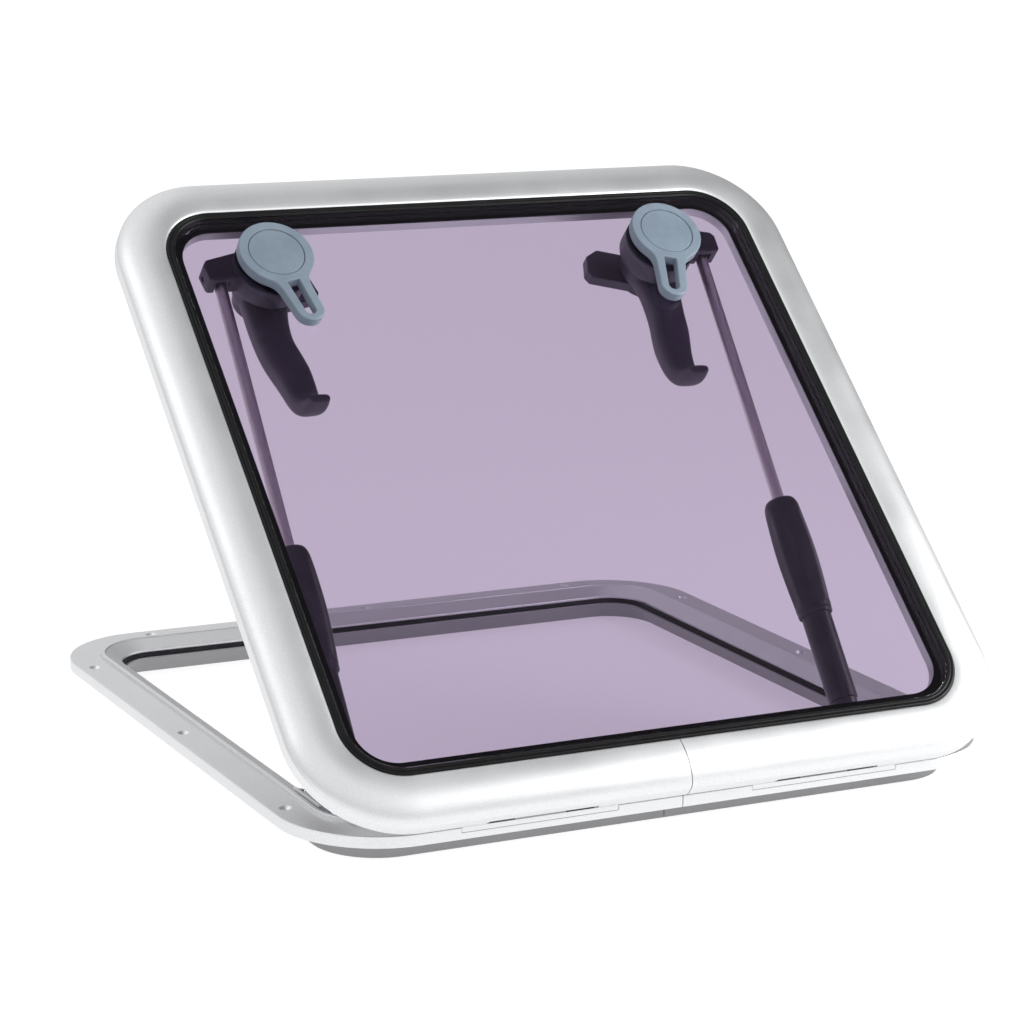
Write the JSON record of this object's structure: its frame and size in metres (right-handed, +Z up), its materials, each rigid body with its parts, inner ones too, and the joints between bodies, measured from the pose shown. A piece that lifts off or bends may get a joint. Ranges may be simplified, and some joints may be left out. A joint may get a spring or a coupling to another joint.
{
  "type": "deck hatch",
  "caption": "Square flush deck hatch: smoked acrylic lid in a rounded aluminium frame, hinged base flange, two latches with inside handles and two telescopic friction stays.",
  "frame": {"origin": "centre of the base frame, in the plane of the spigot's lower edge; the deck's surface is 15.7 mm above it", "axes": "+Z up, out of the deck; +X along the hinge line, to the right seen from the hinge side; -Y towards the hinges"},
  "size_m": [0.5698, 0.5678, 0.4126],
  "materials": {
    "lid_aluminium": "satin anodised, fine grain along the rail",
    "base_aluminium": "satin anodised",
    "pane_acrylic": "clear smoked acrylic, polished",
    "gasket_rubber": "matt black",
    "seal_rubber": "matt dark grey",
    "bond_black": "satin black adhesive",
    "handle_nylon": "fine moulded texture, black",
    "lever_nylon": "fine moulded texture, blue-grey",
    "stay_nylon": "satin black",
    "steel": "stainless, turned",
    "rod_steel": "stainless, ground"
  },
  "bodies": {
    "base": {"base_frame": "base_aluminium", "base_seal": "seal_rubber", "hinge_base_leaf_left": "base_aluminium", "stay_bracket_left": "base_aluminium", "hinge_base_leaf_right": "base_aluminium", "stay_bracket_right": "base_aluminium", "hinge_base_screw_left_1": "steel", "hinge_base_screw_left_2": "steel", "stay_bracket_screw_left_1": "steel", "stay_bracket_screw_left_2": "steel", "hinge_base_screw_right_1": "steel", "hinge_base_screw_right_2": "steel", "stay_bracket_screw_right_1": "steel", "stay_bracket_screw_right_2": "steel"},
    "lid": {"lid_frame": "lid_aluminium", "glazing_gasket": "gasket_rubber", "lid_pane": "pane_acrylic", "bond_ring": "bond_black", "lid_seal": "seal_rubber", "hinge_lid_leaf_left": "lid_aluminium", "hinge_pin_left": "steel", "spindle_bush_left": "handle_nylon", "latch_housing_left": "handle_nylon", "stay_upper_pin_left": "steel", "hinge_lid_leaf_right": "lid_aluminium", "hinge_pin_right": "steel", "spindle_bush_right": "handle_nylon", "latch_housing_right": "handle_nylon", "stay_upper_pin_right": "steel", "hinge_lid_screw_left_1": "steel", "hinge_lid_screw_left_2": "steel", "hinge_lid_screw_right_1": "steel", "hinge_lid_screw_right_2": "steel"},
    "latch_left": {"outside_lever_left": "lever_nylon", "lever_disc_left": "lever_nylon", "latch_spindle_left": "steel", "inside_handle_left": "handle_nylon", "latch_tongue_left": "handle_nylon", "handle_screw_left": "steel"},
    "rod_left": {"stay_rod_left": "rod_steel", "stay_piston_left": "stay_nylon"},
    "tube_left": {"stay_tube_left": "stay_nylon", "stay_foot_left": "stay_nylon", "stay_foot_pin_left": "steel", "stay_collet_left": "stay_nylon"},
    "grip_left": {"stay_grip_left": "stay_nylon"},
    "latch_right": {"outside_lever_right": "lever_nylon", "lever_disc_right": "lever_nylon", "latch_spindle_right": "steel", "inside_handle_right": "handle_nylon", "latch_tongue_right": "handle_nylon", "handle_screw_right": "steel"},
    "rod_right": {"stay_rod_right": "rod_steel", "stay_piston_right": "stay_nylon"},
    "tube_right": {"stay_tube_right": "stay_nylon", "stay_foot_right": "stay_nylon", "stay_foot_pin_right": "steel", "stay_collet_right": "stay_nylon"},
    "grip_right": {"stay_grip_right": "stay_nylon"}
  },
  "joints": [
    {"name": "lid_hinge", "type": "hinge", "parent": "base", "child": "lid", "pos_m": [0, -0.2795, 0.0311], "axis": [1, 0, 0], "range_deg": [-41.8, 6.2]},
    {"name": "latch_left_turn", "type": "hinge", "parent": "lid", "child": "latch_left", "pos_m": [-0.168, 0.06844, 0.36285], "axis": [0, -0.6665, 0.7455], "range_deg": [-10, 75.5]},
    {"name": "stay_left_pivot", "type": "hinge", "parent": "lid", "child": "rod_left", "pos_m": [-0.208, 0.08273, 0.34612], "axis": [1, 0, 0], "range_deg": [-8.5, 1.4]},
    {"name": "stay_left_slide", "type": "slide", "parent": "rod_left", "child": "tube_left", "axis": [0, -0.6073, -0.7945], "range_m": [-0.0525, 0.008]},
    {"name": "grip_left_twist", "type": "hinge", "parent": "tube_left", "child": "grip_left", "pos_m": [-0.208, -0.1725, 0.0122], "axis": [0, 0.6073, 0.7945], "range_deg": [-90, 90]},
    {"name": "latch_right_turn", "type": "hinge", "parent": "lid", "child": "latch_right", "pos_m": [0.168, 0.06844, 0.36285], "axis": [0, 0.6665, -0.7455], "range_deg": [-15.5, 70]},
    {"name": "stay_right_pivot", "type": "hinge", "parent": "lid", "child": "rod_right", "pos_m": [0.208, 0.08273, 0.34612], "axis": [1, 0, 0], "range_deg": [-8.5, 1.4]},
    {"name": "stay_right_slide", "type": "slide", "parent": "rod_right", "child": "tube_right", "axis": [0, -0.6073, -0.7945], "range_m": [-0.0525, 0.008]},
    {"name": "grip_right_twist", "type": "hinge", "parent": "tube_right", "child": "grip_right", "pos_m": [0.208, -0.1725, 0.0122], "axis": [0, 0.6073, 0.7945], "range_deg": [-90, 90]}
  ],
  "couplings": [
    {"joint": "stay_left_pivot", "follows": "lid_hinge", "ratio": 0.2},
    {"joint": "stay_left_slide", "follows": "lid_hinge", "m_per_rad": 0.0708},
    {"joint": "stay_right_pivot", "follows": "lid_hinge", "ratio": 0.2},
    {"joint": "stay_right_slide", "follows": "lid_hinge", "m_per_rad": 0.0708}
  ]
}
